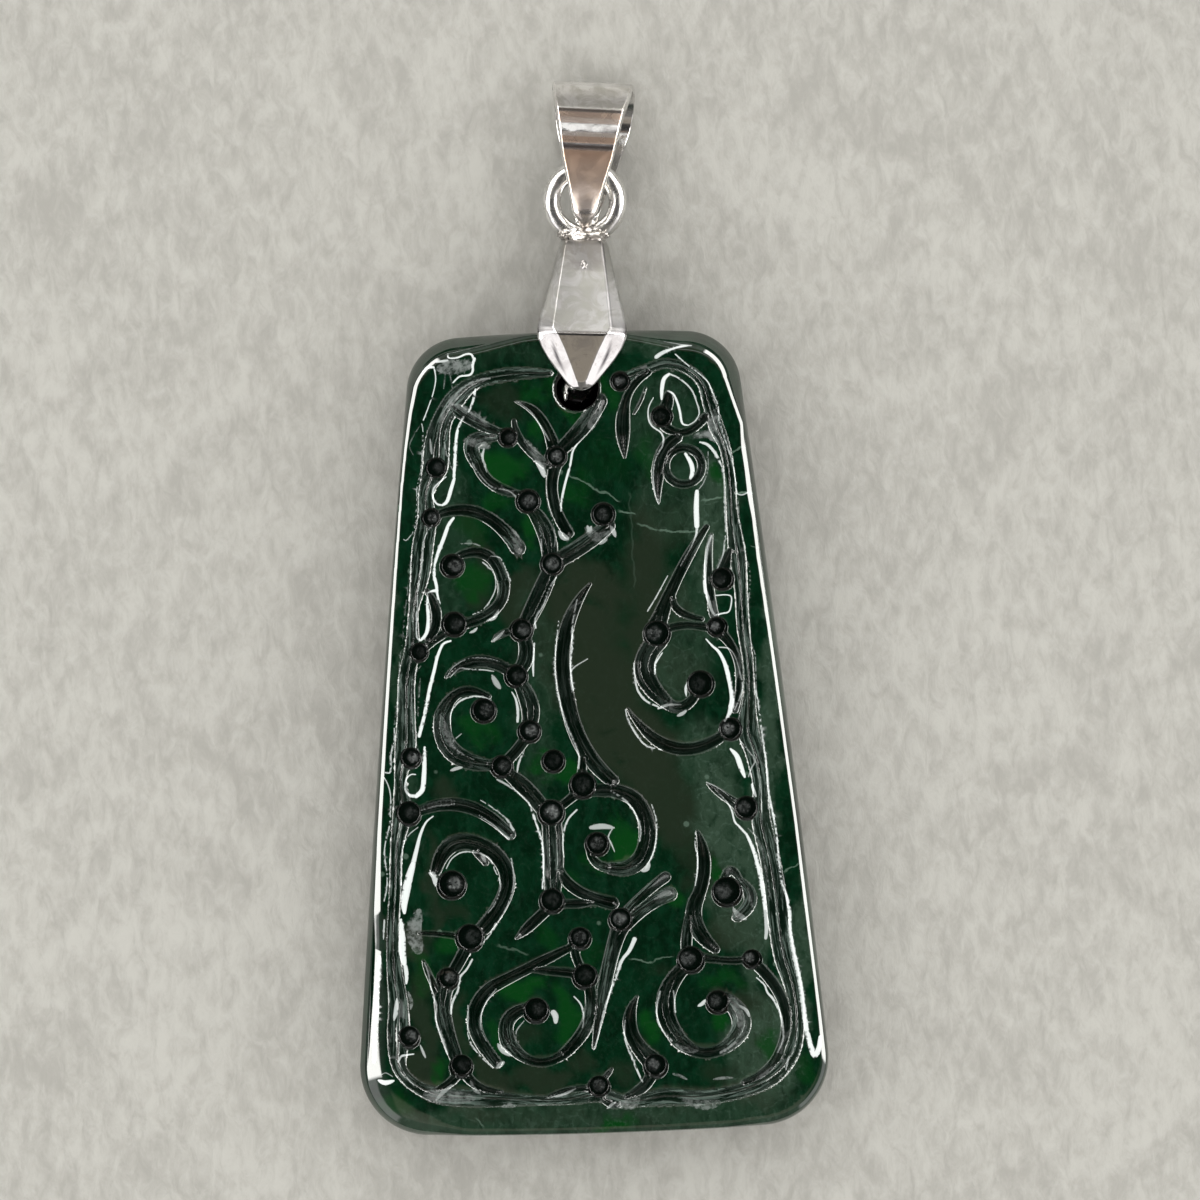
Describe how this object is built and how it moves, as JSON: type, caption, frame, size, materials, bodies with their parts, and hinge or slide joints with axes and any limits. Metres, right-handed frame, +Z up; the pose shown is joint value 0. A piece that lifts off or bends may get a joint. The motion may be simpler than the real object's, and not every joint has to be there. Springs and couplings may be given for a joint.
{
  "type": "jadeite plaque pendant",
  "caption": "Flat tapered jadeite plaque with a carved scroll front, on a pinch bail with a soldered ring and a tapered hanging bail.",
  "frame": {"origin": "on the surface the pendant lies on, below the middle of its bounding box", "axes": "+Y from the plaque's bottom edge to the hanging bail, +Z up from the surface through the carved front, +X to the right seen from the front"},
  "size_m": [0.0246, 0.0554, 0.0065],
  "materials": {
    "jadeite": "high polish, dark mottled green, slightly translucent",
    "silver": "polished silver with light tarnish at the solder joint"
  },
  "bodies": {
    "root": {"jade_plaque": "jadeite", "pinch_bail": "silver", "hanging_bail": "silver"}
  },
  "joints": []
}
